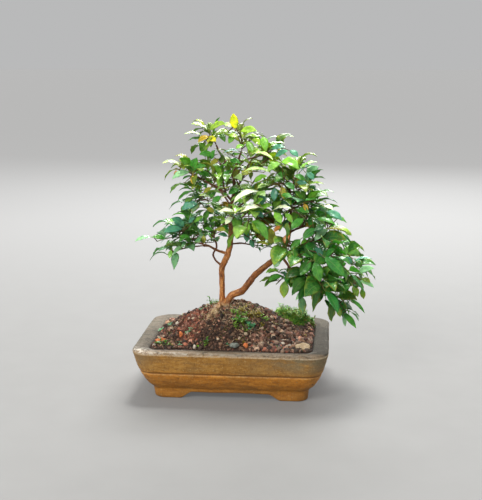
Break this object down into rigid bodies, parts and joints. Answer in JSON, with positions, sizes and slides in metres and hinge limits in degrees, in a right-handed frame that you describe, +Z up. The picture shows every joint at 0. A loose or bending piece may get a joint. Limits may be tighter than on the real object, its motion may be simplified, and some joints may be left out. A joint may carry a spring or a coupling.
{
  "type": "jaboticaba bonsai in a pot",
  "caption": "Small branching jaboticaba tree with lance-shaped leaves on a heap of soil in an oblong glazed pot, an ornamental potted bonsai.",
  "frame": {"origin": "centre of the object's box, at the level of the pot's feet", "axes": "+Z up along the tree; X along the pot, with the slanting second stem and the hanging foliage towards +X; -Y is the front that the picture shows"},
  "size_m": [0.2954, 0.185, 0.3448],
  "materials": {
    "glazed_stoneware": "satin",
    "planting_mix": "matte",
    "bark": "satin",
    "leaf": "satin",
    "moss": "matte",
    "weed": "matte",
    "screen_plastic": "matte",
    "beige_stone": "matte",
    "grey_pebble": "matte",
    "brick": "matte"
  },
  "bodies": {
    "root": {"beige_stone": "beige_stone", "brick_chip_centre": "brick", "brick_chip_left": "brick", "brick_chip_middle": "brick", "drain_screen_left": "screen_plastic", "drain_screen_right": "screen_plastic", "grey_pebble": "grey_pebble", "moss_patch": "moss", "pot": "glazed_stoneware", "soil": "planting_mix", "spray_back_left": "leaf", "spray_back_low": "leaf", "spray_back_right": "leaf", "spray_back_upper": "leaf", "spray_centre_right": "leaf", "spray_crown_left": "leaf", "spray_crown_middle": "leaf", "spray_crown_right": "leaf", "spray_front": "leaf", "spray_front_right": "leaf", "spray_hanging": "leaf", "spray_hanging_fall": "leaf", "spray_hanging_front": "leaf", "spray_hanging_near": "leaf", "spray_hanging_thread": "leaf", "spray_inner_back": "leaf", "spray_inner_front": "leaf", "spray_inner_left": "leaf", "spray_leader_back": "leaf", "spray_leader_front": "leaf", "spray_leader_top": "leaf", "spray_low_centre": "leaf", "spray_lower_left": "leaf", "spray_lower_left_back": "leaf", "spray_middle_left": "leaf", "spray_middle_left_low": "leaf", "spray_right_arm": "leaf", "spray_right_arm_back": "leaf", "spray_right_arm_front": "leaf", "spray_right_front": "leaf", "spray_right_high": "leaf", "spray_right_upper": "leaf", "spray_upper_front": "leaf", "spray_upper_left": "leaf", "spray_upper_left_drop": "leaf", "spray_upper_left_rise": "leaf", "trunk": "bark", "weed_centre": "weed", "weed_front": "weed", "weed_left": "weed", "weed_trunk": "weed"}
  },
  "joints": []
}
